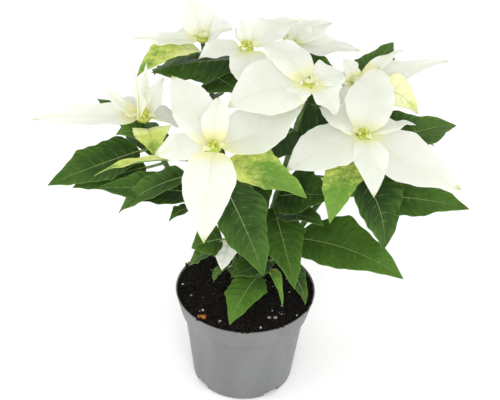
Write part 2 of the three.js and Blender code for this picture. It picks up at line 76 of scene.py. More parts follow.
# Each branch ends in a bloom at top and leaves the trunk at height forks. A blade may have a roll
# about its midrib and a fold of its own, both in degrees. A leaf's shade runs from about -1, the
# darkest, to 1; it is the leaf's own tone and painted shade and light together, darker on leaves
# that lie in the shadow of the bracts and of other leaves, lighter on well-lit ones. A bract's
# makes the yellow at its base longer. mottled marks the light leaves just below the bracts and says
# how yellow they are, and white the small bract among the leaves.
PLANT = {
    "front_left": dict(top=(-29, -31, 255), forks=108, bloom=OPEN, bracts=[
        bract((-33, -100, 214), 42, 12, fold=6),
        bract((-76, -30, 246), 32, 3, roll=16),
        bract((-66, 35, 280), 38, 4, roll=6),
        bract((-27, 7, 279), 22, 7, shade=0.9),
        bract((41, 10, 275), 50, -5, roll=-8),
    ], leaves=[
        leaf(0.95, (45, -63, 235), 46, 4, 10, roll=-2, mottled=0.2),
        leaf(0.93, (-124, -26, 222), 22, 8, 24, roll=-20, mottled=1.1),
        leaf(0.86, (15, -62, 154), 45, 3, 6, roll=-24, shade=-0.1),
        leaf(0.86, (-106, -23, 183), 30, 9, 24, roll=14, shade=0.2),
        leaf(0.68, (-124, -10, 198), 37, 2, 16, roll=16, shade=-0.3),
        leaf(0.3, (-49, -14, 124), 26, 3, 10, shade=0.3),
        leaf(0.34, (-20, -38, 139), 19, 2, 2, white=True),
        leaf(0.34, (-46, -22, 149), 32, 2, 6, roll=24),
        leaf(0.12, (-28, -14, 107), 13, 5, 6, shade=0.3),
    ]),
    "right": dict(top=(90, 2, 250), forks=97, bloom=OPEN, bracts=[
        bract((28, -31, 237), 50, 2, roll=10),
        bract((98, -46, 224), 28, 8),
        bract((168, -32, 226), 46, -2, roll=-21),
        bract((133, 20, 252), 17, 4),
        bract((102, 60, 281), 40, 8),
        bract((54, 30, 259), 34, 3),
    ], leaves=[
        leaf(0.89, (64, -56, 205), 32, 8, 4, mottled=-0.05),
        leaf(0.86, (111, -36, 164), 48, 16, 12, shade=-0.4),
        leaf(0.34, (128, -50, 148), 53, 9, 6, roll=-18, shade=0.7),
        leaf(0.1, (-12, -62, 102), 34, 9, 16, shade=1.2),
        leaf(0.1, (32, -38, 102), 9, 16, 6, mottled=-0.3),
        leaf(0.2, (52, -25, 95), 18, 8, 10, shade=-0.2),
        leaf(0.22, (-12, -34, 131), 32, -2, 12, shade=-0.2),
        leaf(0.64, (179, -16, 196), 44, 5, 30, roll=-22, shade=0.1),
        leaf(0.9, (172, 62, 226), 48, 5, 24, roll=-8, shade=0.1),
        leaf(0.7, (156, 30, 190), 40, 10, 20),
    ]),
    "rear": dict(top=(-7, 73, 285), forks=117, bloom=OPEN, bracts=[
        bract((-46, 58, 283), 24, 4, roll=10),
        bract((4, 16, 267), 38, 6),
        bract((-12, 92, 302), 13, 3),
        bract((35, 102, 297), 34, 5),
        bract((-1, 130, 266), 26, 6),
    ], leaves=[
        leaf(0.97, (-86, 75, 258), 46, 3, 6, fold=-20, shade=-0.3),
        leaf(0.8, (-14, 150, 214), 44, 12, 22),
        leaf(0.62, (24, 132, 178), 38, 12, 22),
        # painted shade: this leaf sits in the dark gap behind the front leaves and is darkened for the
        # shade there
        leaf(0.5, (10, -22, 166), 34, 4, 8, shade=-0.6),
    ]),
    "left": dict(top=(-89, 35, 238), forks=98, bloom=OPEN, bracts=[
        bract((-181, 27, 237), 32, 3, roll=8),
        bract((-120, 40, 261), 20, -2, shade=1.8),
        bract((-96, 30, 289), 14, 2),
        bract((-87, 44, 285), 9, 1, shade=1),
        bract((-40, 52, 224), 36, 0, roll=8),
        bract((-126, 76, 222), 32, 4),
        bract((-74, 60, 262), 18, 2),
    ], leaves=[
        leaf(0.96, (-78, 4, 222), 32, 8, 4, mottled=1.2),
        leaf(0.93, (-110, 18, 232), 20, 3, 4, roll=20, shade=0.9),
        leaf(0.86, (-166, 2, 190), 44, 1, 14, roll=16, shade=-0.1),
        leaf(0.76, (-146, 6, 186), 38, 0, 16, roll=14),
        leaf(0.42, (-66, -2, 161), 15, 9, 8, shade=0.2),
        leaf(0.84, (-134, 96, 217), 24, 2, 22),
        leaf(0.66, (-112, 108, 182), 38, 12, 22),
    ]),
    "rear_right": dict(top=(85, 61, 262), forks=102, bloom=CLOSED, bracts=[
        bract((52, 65, 262), 22, 5),
        bract((73, 75, 278), 18, 4, shade=1.5),
        bract((164, 94, 269), 26, 2, roll=-4),
        bract((125, 99, 275), 14, 4, shade=2),
        bract((70, 39, 250), 15, 4),
        bract((76, 94, 238), 14, 2),
        bract((138, 108, 250), 26, 5),
    ], leaves=[
        leaf(0.96, (137, 46, 245), 32, 15, 20, roll=-22, mottled=2.3),
        leaf(0.8, (158, 74, 196), 38, 8, 20),
        leaf(0.94, (120, 140, 259), 32, 0, 22, shade=0.2),
        leaf(0.55, (98, 16, 176), 40, 8, 14),
        leaf(0.86, (34, 50, 217), 36, 4, 8, shade=-0.3),
        leaf(0.76, (142, 118, 188), 42, 12, 22),
    ]),
    "middle": dict(top=(44, 21, 285), forks=116, bloom=CLOSED, bracts=[
        bract((-20, 5, 271), 64, 4, roll=14),
        bract((27, -8, 276), 22, 3, shade=0.7),
        bract((6, 64, 295), 37, 8),
        bract((76, 40, 280), 30, 5, roll=-10),
        bract((67, 4, 266), 28, 5, shade=0.7),
    ], leaves=[
        # painted shade: the two dark leaves below lie in the shadow of the bracts, and their shade of
        # -1.1 stands for it
        leaf(0.7, (90, 34, 228), 62, 8, 4, shade=-1.1),
        leaf(0.78, (-12, -16, 220), 54, 4, 2, shade=-1.1),
        leaf(0.34, (40, -60, 141), 37, 2, 1, shade=0.3),
        leaf(0.4, (70, -14, 201), 50, 2, 3, roll=-26, shade=-0.4),
        leaf(0.3, (62, -22, 178), 32, 4, 10, shade=-0.1),
    ]),
    "rear_left": dict(top=(-44, 102, 276), forks=111, bloom=CLOSED, bracts=[
        bract((-56, 124, 302), 32, 2),
        bract((-100, 84, 285), 22, -1, roll=6),
        bract((-19, 94, 291), 30, 4, roll=-20),
        bract((-82, 132, 248), 32, 6),
        bract((-50, 154, 262), 30, 8),
    ], leaves=[
        leaf(0.96, (-97, 60, 262), 34, 12, 5, mottled=0.9),
        leaf(0.86, (-10, 58, 251), 44, 2, 8, roll=-16, shade=0.2),
        leaf(0.5, (-66, 58, 184), 40, 8, 12),
        leaf(0.84, (-88, 130, 222), 42, 12, 12),
        leaf(0.68, (-50, 140, 182), 38, 12, 22),
    ]),
    "far_rear": dict(top=(28, 100, 276), forks=108, bloom=CLOSED, bracts=[
        bract((65, 124, 284), 34, 3),
        bract((88, 88, 279), 26, 0, roll=-10),
        bract((24, 156, 256), 34, 6),
        bract((46, 120, 284), 26, 3),
    ], leaves=[
        leaf(0.97, (78, 82, 254), 26, 1, 9, shade=0.1),
        leaf(0.5, (62, 76, 184), 40, 8, 12),
        leaf(0.86, (62, 152, 212), 44, 12, 22),
        leaf(0.7, (96, 128, 184), 38, 12, 22),
    ]),
}

TRUNK_RADIUS = 4.6
TRUNK_BOTTOM = 55
TRUNK_TOP = 121
BRANCH_ELBOW = 8  # how far a branch runs outward before it rises
BRANCH_SLOPE = 0.3  # how far it rises meanwhile, for 1 outward
BRANCH_RISE = 55  # how far below its top a branch turns upright
BRANCH_INWARD = 0.3  # and how far in from it, as a share of the branch's reach
CUP_HALF_HEIGHT = 3
BRACT_RING = 4.6  # how far from the bloom's middle its bracts start

# ---------------------------------------------------------------- colours and nodes

EASED = dict(interpolation_type="SMOOTHSTEP")  # a Map Range node that eases between its ends
COLOURS = dict(data_type="RGBA", out=2)  # a Mix node of colours: its share is 0, they are 6 and 7


def srgb(hex_colour):
    """An sRGB hex value such as "8f918f" as linear red, green, blue and alpha."""
    channels = [int(hex_colour[i:i + 2], 16) / 255 for i in (0, 2, 4)]
    linear = [c / 12.92 if c <= 0.04045 else ((c + 0.055) / 1.055) ** 2.4 for c in channels]
    return (*linear, 1.0)


def add(tree, kind, inputs=(), out=0, **settings):
    """Adds a shader node with its settings and links, and returns its output of the key out.

    The inputs are numbers, colours or outputs to link, in the node's own order or by their keys.
    """
    node = tree.nodes.new("ShaderNode" + kind)
    for name, setting in settings.items():
        setattr(node, name, setting)
    by_key = inputs if isinstance(inputs, dict) else dict(enumerate(inputs))
    for key, value in by_key.items():
        if isinstance(value, bpy.types.NodeSocket):
            tree.links.new(value, node.inputs[key])
        else:
            node.inputs[key].default_value = value
    return node.outputs[out]


def new_material(name, surface, *colours, **more):
    """A material of that name, with the shader that surface makes in its node tree."""
    material = bpy.data.materials.new(name)
    material.use_nodes = True
    tree = material.node_tree
    tree.nodes.clear()
    output = tree.nodes.new("ShaderNodeOutputMaterial")
    tree.links.new(surface(tree, *colours, **more), output.inputs["Surface"])
    return material


def grain(tree, size_mm, detail=3.0, place=None, roughness=0.55):
    """Noise whose blotches are about size_mm across, on the piece's own coordinates or on place."""
    if place is None:
        place = add(tree, "TexCoord", out="Object")
    scale = 1 / (size_mm * MM)
    inputs = {"Vector": place, "Scale": scale, "Detail": detail, "Roughness": roughness}
    return add(tree, "TexNoise", inputs)


def summed(tree, level, *parts):
    """level with each part added to it: a pattern times its strength."""
    for pattern, strength in parts:
        level = add(tree, "Math", (pattern, strength, level), operation="MULTIPLY_ADD")
    return level


def tinted(tree, colour, tint, pattern, low, high, at_low=0.0, at_high=1.0):
    """colour turned to tint by a share that eases from at_low to at_high as pattern goes from low
    to high."""
    share = add(tree, "MapRange", (pattern, low, high, at_low, at_high), **EASED)
    return add(tree, "Mix", {0: share, 6: colour, 7: srgb(tint)}, **COLOURS)


def overlaid(tree, colour, tint, pattern, strength):
    """colour turned to tint by the share strength where pattern is 1, and not at all where it is 0."""
    share = add(tree, "Math", (pattern, strength), operation="MULTIPLY")
    return add(tree, "Mix", {0: share, 6: colour, 7: srgb(tint)}, **COLOURS)


# ---------------------------------------------------------------- leaf and bract materials

VEIN_SPACING = 7.0  # between side veins on a leaf
BRACT_VEIN_SPACING = 5.5
VEIN_WANDER = 0.6  # how far a side vein strays, as a share of the spacing
WAXY_SKIN_IOR = 1.42


def vein_masks(tree, spacing, rib_width, vein_width):
    """Where the midrib and the side veins run, each 0 to 1, and the distance to a side vein."""
    along, edge, from_rib, vein = (
        add(tree, "Attribute", out="Fac", attribute_name=name)
        for name in ("along", "edge", "from_rib", "vein")
    )
    rib_here = summed(tree, from_rib, (along, rib_width * 0.7))
    midrib = add(tree, "MapRange", (rib_here, rib_width * 0.55, rib_width, 1.0, 0.0), **EASED)
    distance = summed(tree, vein, (grain(tree, 13, 2.0), VEIN_WANDER))
    for operation, *value in (("FRACT",), ("SUBTRACT", 0.5), ("ABSOLUTE",), ("MULTIPLY", spacing)):
        distance = add(tree, "Math", (distance, *value), operation=operation)
    line = add(tree, "MapRange", (distance, vein_width * 0.3, vein_width, 1.0, 0.0), **EASED)
    reach = add(tree, "MapRange", (edge, 0.3, 0.95, 1.0, 0.05), **EASED)
    side = add(tree, "Math", (line, reach), operation="MULTIPLY")
    return midrib, side, distance


def blade_place(tree):
    """The place on a blade, shifted by its own seed, so that no two blades are patterned alike."""
    seed = add(tree, "Attribute", out="Fac", attribute_name="seed")
    shift = add(tree, "CombineXYZ", (seed, seed))
    return add(tree, "VectorMath", (add(tree, "TexCoord", out="Object"), shift), operation="ADD")


def thin_blade(tree, colour, glow, glow_share, height, depth_mm, roughness, through, specular):
    """A thin leaf: a satin face that lets the share through of the light pass, tinted by glow. Its
    relief is depth_mm where height goes from 0 to 1."""
    normal = add(tree, "Bump", {"Height": height, "Distance": depth_mm * MM})
    face = add(tree, "BsdfPrincipled", {
        "Base Color": colour, "Roughness": roughness, "Normal": normal, "IOR": WAXY_SKIN_IOR,
        "Specular IOR Level": specular,
    })
    passing = add(tree, "Mix", {0: glow_share, 6: colour, 7: srgb(glow)}, **COLOURS)
    lit_through = add(tree, "BsdfTranslucent", {"Color": passing, "Normal": normal})
    return add(tree, "MixShader", (through, face, lit_through))


def leaf_upper(tree, dark, light, mottle=False):
    """Poinsettia leaf, upper face: a smooth waxy green skin, so it is satin. Pale sunken veins
    divide it into panels. In its outer half each panel has a painted highlight in its middle and
    painted shade beside its veins, and the leaf is lighter towards its margin, a thin light line. A
    mottled leaf turns yellow and then cream in patches, most of all near its base."""
    along, edge, from_margin, tone_and_painted_shade = (
        add(tree, "Attribute", out="Fac", attribute_name=name)
        for name in ("along", "edge", "from_margin", "tone_and_painted_shade")
    )
    place = blade_place(tree)
    midrib, side, distance = vein_masks(tree, VEIN_SPACING, 0.58, 0.65)
    clouds = grain(tree, 22, 2.0, place)
    blotches = add(tree, "Math", (grain(tree, 7, 2.0, place), 0.5), operation="SUBTRACT")
    # painted highlight and shade: the middle of each panel is lighter and the sides of its veins
    # darker, more so towards the margin, for the light on the puffed panels
    near = add(tree, "MapRange", (distance, 0.0, VEIN_SPACING * 0.4, 1.0, 0.0), **EASED)
    panel = add(tree, "Math", (0.55, near), operation="SUBTRACT")
    outer = add(tree, "MapRange", (edge, 0.3, 0.9, 0.0, 0.36), **EASED)
    tipward = add(tree, "MapRange", (along, 0.1, 1.0, 0.0, 0.50), **EASED)
    marginal = add(tree, "MapRange", (edge, 0.5, 1.0, 0.0, 0.14), **EASED)
    # the blade's tone adds painted shade and light: darker on leaves in shade, lighter on well-lit ones
    parts = (tone_and_painted_shade, 0.42), (clouds, 0.60), (panel, outer), (blotches, 0.4), (tipward, 1), (marginal, 1)
    share = add(tree, "Clamp", (summed(tree, -0.18, *parts),))
    colour = add(tree, "Mix", {0: share, 6: srgb(dark), 7: srgb(light)}, **COLOURS)
    if mottle:
        amount = add(tree, "Attribute", out="Fac", attribute_name="mottled")
        wide = grain(tree, 24, 1.0, place)
        patches = grain(tree, 5, 4.0, place, 0.7)
        baseward = add(tree, "MapRange", (along, 0.1, 0.9, 0.42, -0.05), **EASED)
        marginal = add(tree, "MapRange", (edge, 0.3, 1.0, 0.0, 0.12), **EASED)
        parts = (wide, 0.5), (patches, 0.85), (baseward, 1), (marginal, 1), (amount, 0.34)
        level = summed(tree, 0.275, *parts)
        colour = tinted(tree, colour, "CBD66E", level, 1.12, 1.52)
        colour = tinted(tree, colour, "EEF0C0", level, 1.5, 1.9, 0.0, 0.85)
    faded = add(tree, "MapRange", (blotches, -0.12, 0.1, 0.04, 0.2), **EASED)
    for line, strength in ((midrib, 0.75), (side, faded)):
        colour = overlaid(tree, colour, "A4BA76", line, strength)
    colour = tinted(tree, colour, "7E9E4C", from_margin, 0.25, 0.7, 0.30, 0.0)
    veins = add(tree, "Math", (midrib, side), operation="MAXIMUM")
    height = add(tree, "Math", (1.0, veins), operation="SUBTRACT")
    height = summed(tree, height, (grain(tree, 0.9, 2.0), 0.25))
    roughness = add(tree, "MapRange", (clouds, 0.3, 0.7, 0.40, 0.54), **EASED)
    return thin_blade(tree, colour, "8DB82C", 0.5, height, 0.28, roughness, 0.14, 0.14)


def leaf_under(tree, base, vein):
    """The leaf's underside: paler and matt, with its veins raised."""
    midrib, side, _ = vein_masks(tree, VEIN_SPACING, 1.4, 1.1)
    colour = add(tree, "Mix", {0: grain(tree, 12), 6: srgb(base), 7: srgb(vein)}, **COLOURS)
    veins = add(tree, "Math", (midrib, side), operation="MAXIMUM")
    colour = overlaid(tree, colour, vein, veins, 0.5)
    return thin_blade(tree, colour, "8FB53A", 0.5, veins, 0.4, 0.68, 0.16, 0.2)


def bract_face(tree, white, shade, vein_share):
    """White poinsettia bract: a thin matt petal-like leaf that light passes through. It is pale
    yellow at its base, faintly veined, and green-yellow at its very tip."""
    along, tone_and_painted_shade = (
        add(tree, "Attribute", out="Fac", attribute_name=name) for name in ("along", "tone_and_painted_shade")
    )
    midrib, side, _ = vein_masks(tree, BRACT_VEIN_SPACING, 1.1, 0.9)
    clouds = grain(tree, 16, 2.0, blade_place(tree))
    colour = tinted(tree, srgb(white), shade, clouds, 0.35, 0.7)
    from_base = summed(tree, along, (tone_and_painted_shade, -0.12))
    colour = tinted(tree, colour, "F3F0AA", from_base, 0.0, 0.22, 0.75, 0.0)
    colour = tinted(tree, colour, "BECD72", along, 0.90, 0.99, 0.0, 0.85)
    faint = add(tree, "Math", (side, 0.6), operation="MULTIPLY")
    veins = add(tree, "Math", (midrib, faint), operation="MAXIMUM")
    colour = overlaid(tree, colour, "DADFBC", veins, vein_share)
    height = add(tree, "Math", (1.0, veins), operation="SUBTRACT")
    height = summed(tree, height, (grain(tree, 1.4), 0.3))
    return thin_blade(tree, colour, "FCFCF7", 0.75, height, 0.11, 0.6, 0.58, 0.2)


# ---------------------------------------------------------------- other materials


def green_skin(tree, green, blush, size_mm=9):
    """Young stems, stalks and flower parts: a smooth waxy skin, softly blotched with a second
    colour."""
    colour = tinted(tree, srgb(green), blush, grain(tree, size_mm, 4.0), 0.35, 0.68)
    normal = add(tree, "Bump", {"Height": grain(tree, 1.2, 2.0), "Distance": 0.12 * MM})
    inputs = {"Base Color": colour, "Roughness": 0.46, "IOR": WAXY_SKIN_IOR, "Normal": normal}
    return add(tree, "BsdfPrincipled", inputs)


def woody_bark(tree, brown, grey, pore):
    """Young poinsettia bark: grey-brown over green, with raised pale pores."""
    colour = tinted(tree, srgb(brown), grey, grain(tree, 7, 4.0), 0.35, 0.65)
    pores = add(tree, "MapRange", (grain(tree, 2.2, 1.0), 0.62, 0.74), **EASED)
    colour = overlaid(tree, colour, pore, pores, 0.6)
    rough = add(tree, "Math", (grain(tree, 1.5, 4.0), pores), operation="ADD")
    normal = add(tree, "Bump", {"Height": rough, "Distance": 0.5 * MM})
    return add(tree, "BsdfPrincipled", {"Base Color": colour, "Roughness": 0.78, "Normal": normal})


def moulded_polypropylene(tree, dark, light, dust, scuff):
    """Thermoformed polypropylene: thin grey sheet drawn into shape, so it is satin, very slightly
    uneven in tall streaks, and carries fine scuffs and a little dust."""
    place = add(tree, "TexCoord", out="Object")
    tall = add(tree, "Mapping", {"Vector": place, "Scale": (1.0, 1.0, 0.25)})
    colour = tinted(tree, srgb(dark), light, grain(tree, 26, 2.0, tall, 0.5), 0.3, 0.7)
    dusty = grain(tree, 9, 5.0, roughness=0.7)
    colour = tinted(tree, colour, dust, dusty, 0.52, 0.78, 0.0, 0.22)
    scuffed = grain(tree, 3.5, 5.0, roughness=0.8)
    colour = tinted(tree, colour, scuff, scuffed, 0.60, 0.72, 0.0, 0.10)
    uneven = grain(tree, 14, 1.0, tall, 0.5)
    return add(tree, "BsdfPrincipled", {
        "Base Color": colour, "IOR": 1.49, "Specular IOR Level": 0.6,
        "Roughness": add(tree, "MapRange", (grain(tree, 6, 4.0), 0.3, 0.7, 0.42, 0.56), **EASED),
        "Normal": add(tree, "Bump", {"Height": uneven, "Distance": 0.35 * MM}),
    })


def peat(tree, low, high):
    """Moist potting peat: black-brown crumbs, each a little different, with paler flecks."""
    crumbs = grain(tree, 3.5, 5.0, roughness=0.7)
    colour = tinted(tree, srgb(low), high, crumbs, 0.36, 0.72)
    flecks = add(tree, "MapRange", (grain(tree, 1.3, 2.0), 0.66, 0.76), **EASED)
    colour = overlaid(tree, colour, "3E352B", flecks, 0.4)
    return add(tree, "BsdfPrincipled", {
        "Base Color": colour, "Roughness": 0.9, "Specular IOR Level": 0.12,
        "Normal": add(tree, "Bump", {"Height": grain(tree, 1.1, 5.0), "Distance": 0.9 * MM}),
    })


def rubble(tree, low, high, size_mm, roughness):
    """Small mineral or woody bits: two near colours in grains of that size."""
    spots = grain(tree, size_mm, 4.0)
    colour = tinted(tree, srgb(low), high, spots, 0.35, 0.65)
    normal = add(tree, "Bump", {"Height": spots, "Distance": 0.3 * MM})
    inputs = {"Base Color": colour, "Roughness": roughness, "Normal": normal}
    return add(tree, "BsdfPrincipled", inputs)


def floor_paint(tree, low, high):
    """Matt white studio floor, faintly uneven."""
    colour = tinted(tree, srgb(low), high, grain(tree, 300, 2.0), 0.2, 0.8)
    inputs = {"Base Color": colour, "Roughness": 0.9, "Specular IOR Level": 0.1}
    return add(tree, "BsdfPrincipled", inputs)


LEAF_GREEN = new_material("leaf_green", leaf_upper, "1F3712", "53782D")
LEAF_UNDER = new_material("leaf_underside", leaf_under, "5C7A42", "84A060")
LEAF_MOTTLED = new_material("leaf_mottled", leaf_upper, "618B33", "7BA044", mottle=True)
MOTTLED_UNDER = new_material("mottled_underside", leaf_under, "8CAA50", "B0C47C")
BRACT_WHITE = new_material("bract_white", bract_face, "F2F4EE", "F0F2EA", 0.06)
BRACT_UNDER = new_material("bract_underside", bract_face, "F1F3EA", "EDEFE4", 0.18)
INNER_YELLOW = new_material("inner_bract", bract_face, "F5F6DC", "EFF2BC", 0.12)
STALK_GREEN = new_material("leaf_stalk", green_skin, "567338", "7C9850")
BRACT_STALK = new_material("bract_stalk", green_skin, "D9DFA4", "E9ECC6")
# painted shade: the stem's greens are darker than a real stem's mid-green, to read as the shade among
# the leaves
STEM_GREEN_PAINTED_SHADE = new_material("green_stem_painted_shade", green_skin, "314C20", "4A6632", 14)
CYATHIUM_GREEN = new_material("cyathium_cup", green_skin, "A3B24A", "C8D062", 3)
CYATHIUM_DARK = new_material("cyathium_mouth", green_skin, "6E7428", "8A8E38", 2)
GLAND_YELLOW = new_material("nectar_gland", green_skin, "D8DC66", "E9EC90", 2)
BARK = new_material("woody_bark", woody_bark, "6B6248", "8A7F5E", "B4A987")
POT_PLASTIC = new_material(
    "grey_polypropylene", moulded_polypropylene, "696B6A", "717372", "63635E", "8A8C8B"
)
PEAT = new_material("moist_peat", peat, "0B0A08", "1A1613")
CRUMB = new_material("peat_crumb", peat, "0F0D0B", "27201A")
PERLITE = new_material("perlite", rubble, "A29E93", "D2CEC4", 1.0, 0.8)
PEBBLE = new_material("pebble", rubble, "7E7B72", "A19D92", 1.5, 0.6)
PINE_BARK = new_material("pine_bark", rubble, "7A4312", "B8701C", 2.0, 0.7)
FIBRE = new_material("peat_fibre", rubble, "241C15", "3B2F24", 3.0, 0.8)
FLOOR = new_material("studio_floor", floor_paint, "FBFBFB", "FFFFFF")

# ---------------------------------------------------------------- modelling helpers


def active():
    return bpy.context.view_layer.objects.active


def clear_selection():
    bpy.ops.object.select_all(action="DESELECT")


def select_only(piece):
    clear_selection()
    piece.select_set(True)
    bpy.context.view_layer.objects.active = piece


def new_piece(name, data):
    """A new object in the scene, for a mesh, a curve, a camera or a light."""
    piece = bpy.data.objects.new(name, data)
    bpy.context.scene.collection.objects.link(piece)
    return piece


def apply_modifier(piece, kind, **settings):
    """Adds a modifier to the piece and applies it."""
    select_only(piece)
    modifier = piece.modifiers.new(kind.lower(), kind)
    for name, setting in settings.items():
        setattr(modifier, name, setting)
    bpy.ops.object.modifier_apply(modifier=modifier.name)


def joined(pieces, name):
    """The pieces as one object."""
    clear_selection()
    for piece in pieces:
        piece.select_set(True)
    bpy.context.view_layer.objects.active = pieces[0]
    bpy.ops.object.join()
    whole = active()
    whole.name = name
    whole.data.name = name
    return whole


def settle(piece):
    """Puts the piece's place into its mesh."""
    select_only(piece)
    bpy.ops.object.transform_apply(location=True, rotation=True, scale=True)


def smooth(piece, angle_deg):
    """Shades the piece smooth, apart from edges sharper than the angle."""
    select_only(piece)
    bpy.ops.object.shade_smooth_by_angle(angle=math.radians(angle_deg))


def face_outward(piece, merge_mm=0.01):
    """Merges doubles and turns every face outward."""
    select_only(piece)
    bpy.ops.object.mode_set(mode="EDIT")
    bpy.ops.mesh.select_all(action="SELECT")
    bpy.ops.mesh.remove_doubles(threshold=merge_mm * MM)
    bpy.ops.mesh.normals_make_consistent(inside=False)
    bpy.ops.object.mode_set(mode="OBJECT")


def paint_all(piece, *materials):
    """The piece's material slots, with its faces left on the slot that they have."""
    piece.data.materials.clear()
    for material in materials:
        piece.data.materials.append(material)


def vertices_of(piece):
    """The piece's vertices as rows of x, y, z, in metres."""
    places = np.empty(len(piece.data.vertices) * 3)
    piece.data.vertices.foreach_get("co", places)
    return places.reshape(-1, 3)


def place_vertices(piece, places):
    """Moves the piece's vertices to rows of x, y, z, in metres."""
    piece.data.vertices.foreach_set("co", np.asarray(places, float).ravel())
    piece.data.update()


def set_attribute(piece, name, values):
    """A number on each vertex, or one for them all, for the materials to read."""
    attribute = piece.data.attributes.new(name, "FLOAT", "POINT")
    numbers = np.broadcast_to(values, len(piece.data.vertices)).astype(np.float32)
    attribute.data.foreach_set("value", numbers)


def around(reach, angle):
    """x and y of the place at reach from the axis, turned by angle from +X."""
    return reach * math.cos(angle), reach * math.sin(angle)


def tubes(name, runs, sides=8):
    """Round tubes along runs of (point, radius) in millimetres, as one capped mesh."""
    curve = bpy.data.curves.new(name, "CURVE")
    curve.dimensions = "3D"
    curve.bevel_depth = MM
    curve.bevel_resolution = max(0, sides // 2 - 2)
    curve.use_fill_caps = True
    for run in runs:
        spline = curve.splines.new("POLY")
        spline.points.add(len(run) - 1)
        for spot, (place, radius) in zip(spline.points, run):
            spot.co = (*(np.asarray(place) * MM), 1.0)
            spot.radius = radius
    select_only(new_piece(name, curve))
    bpy.ops.object.convert(target="MESH")
    return active()


# ---------------------------------------------------------------- blades

# The kinds of blade: where each is widest, how round its base and how drawn out its tip are, how
# deep its lobes are as a share of its half width, how far each half folds up in degrees, how high
# its face ripples, its side veins' spacing, its grid's columns and how high its panels puff up.
LEAF = dict(
    widest_at=0.37, roundness=0.5, taper=1.45, tooth=0.07, fold=12, wave=1.2,
    vein_spacing=VEIN_SPACING, columns=16, quilt=0.8,
)
BRACT = dict(
    widest_at=0.4, roundness=0.42, taper=1.5, tooth=0.03, fold=8, wave=1.6,
    vein_spacing=BRACT_VEIN_SPACING, columns=16, quilt=0.25,
)
INNER_BRACT = dict(
    widest_at=0.45, roundness=0.5, taper=1.5, tooth=0.0, fold=14, wave=0.5,
    vein_spacing=4.0, columns=8, quilt=0.0,
)

BLADE_LIFT = 0.2  # the fine blade's upper face lies this far above its midrib's line
BLADE_THICKNESS = 0.4
BASE_HALF_WIDTH = 1.0  # a blade is at least this wide to each side of its midrib at its base
TIP_HALF_WIDTH = 0.12
TIP_DROP = 1.5  # how far the last quarter of a blade bends down
FRILL = 0.55  # height of the margin's wave, as a share of the face's
RIPPLE_ALONG = 9  # how far the face's ripple runs on from base to tip, in radians
RIPPLE_ACROSS = 1.4  # and from the midrib to a margin
FRILL_TURNS = (2.2, 3.4)  # how many waves a margin has
SHADE_SPREAD = 0.25  # how much a blade with no shade of its own may be darker or lighter
FEWEST_VEINS = 3
FEWEST_ROWS = 44
ROWS_PER_VEIN = 6
VEIN_SLANT = 0.05  # how far a side vein runs forward from rib to margin, as a share of the blade
VEIN_SWEEP = 0.13  # and how much more as it bends
FINE_TEETH = 0.35  # depth of the small teeth, as a share of the lobes'
TEETH_COUNT = 6.5  # small teeth along one margin
LOBE_PLACES = (0, 0.12, 0.36, 0.6, 0.82, 1)  # where a lobe's point or notch lies, base to tip
STALK_RADIUS = 1.25
SMALL_STALK_RADIUS = 0.9
STALK_POINTS = 14
RIB_REACH = 0.86  # how far along the blade the rib below it goes
RIB_THINNING = 0.75  # how much of its thickness the rib has lost where the blade ends


def unit(vectors):
    return vectors / np.linalg.norm(vectors, axis=-1, keepdims=True)


def turned(vectors, axes, angle):
    """vectors turned about unit axes."""
    across = np.cross(axes, vectors)
    lengthwise = axes * np.sum(axes * vectors, axis=-1, keepdims=True)
    return vectors * math.cos(angle) + across * math.sin(angle) + lengthwise * (1 - math.cos(angle))


def outline(u, kind):
    """Half the width of a blade, as a share of its widest, at shares u from its base to its tip."""
    widest = kind["widest_at"]
    rounded_base = (1 - np.clip(1 - u / widest, 0, 1) ** 2) ** kind["roundness"]
    tapered_tip = 1 - np.clip((u - widest) / (1 - widest), 0, 1) ** kind["taper"]
    return np.where(u < widest, rounded_base, tapered_tip)


class Midrib:
    """The arching midrib of one blade and its stalk, from its root to its tip."""

    def __init__(self, root, tip, bow, roll, petiole):
        self.root = np.asarray(root, float)
        self.tip = np.asarray(tip, float)
        chord = self.tip - self.root
        self.length = np.linalg.norm(chord)
        self.side = unit(np.array([chord[1], -chord[0], 0.0]))
        arch = unit(np.cross(self.side, chord))
        self.middle = (self.root + self.tip) / 2 + arch * bow * 2
        self.turn = -math.radians(roll)
        self.stalk = petiole / self.length

    def at(self, t):
        """Points at shares t, with the directions to the right and out of the upper face."""
        t = np.asarray(t, float)[..., None]
        places = (1 - t) ** 2 * self.root + 2 * t * (1 - t) * self.middle + t ** 2 * self.tip
        ahead = unit((1 - t) * (self.middle - self.root) + t * (self.tip - self.middle))
        side = np.broadcast_to(self.side, ahead.shape)
        right = turned(side, ahead, self.turn)
        normal = turned(unit(np.cross(side, ahead)), ahead, self.turn)
        return places, right, normal


def lobes(u, x, tooth, chance):
    """How much wider or narrower the blade is at u: blunt pointed lobes and small uneven teeth. The
    two margins, where x is above or below 0, are out of step."""
    row = np.interp(u, LOBE_PLACES, range(1, len(LOBE_PLACES) + 1)) + np.where(x > 0, 0.0, 1.0)
    peak = 1 - np.abs(np.sin(math.pi * row / 2))
    bold = (1 + 0.5 * chance) * (2 * peak ** 1.2 - 1)
    fine = FINE_TEETH * np.sin(TURN * (TEETH_COUNT + chance) * u + 5 * chance + 2.1 * (x > 0))
    return 1 + tooth * np.abs(x) * (bold + fine)


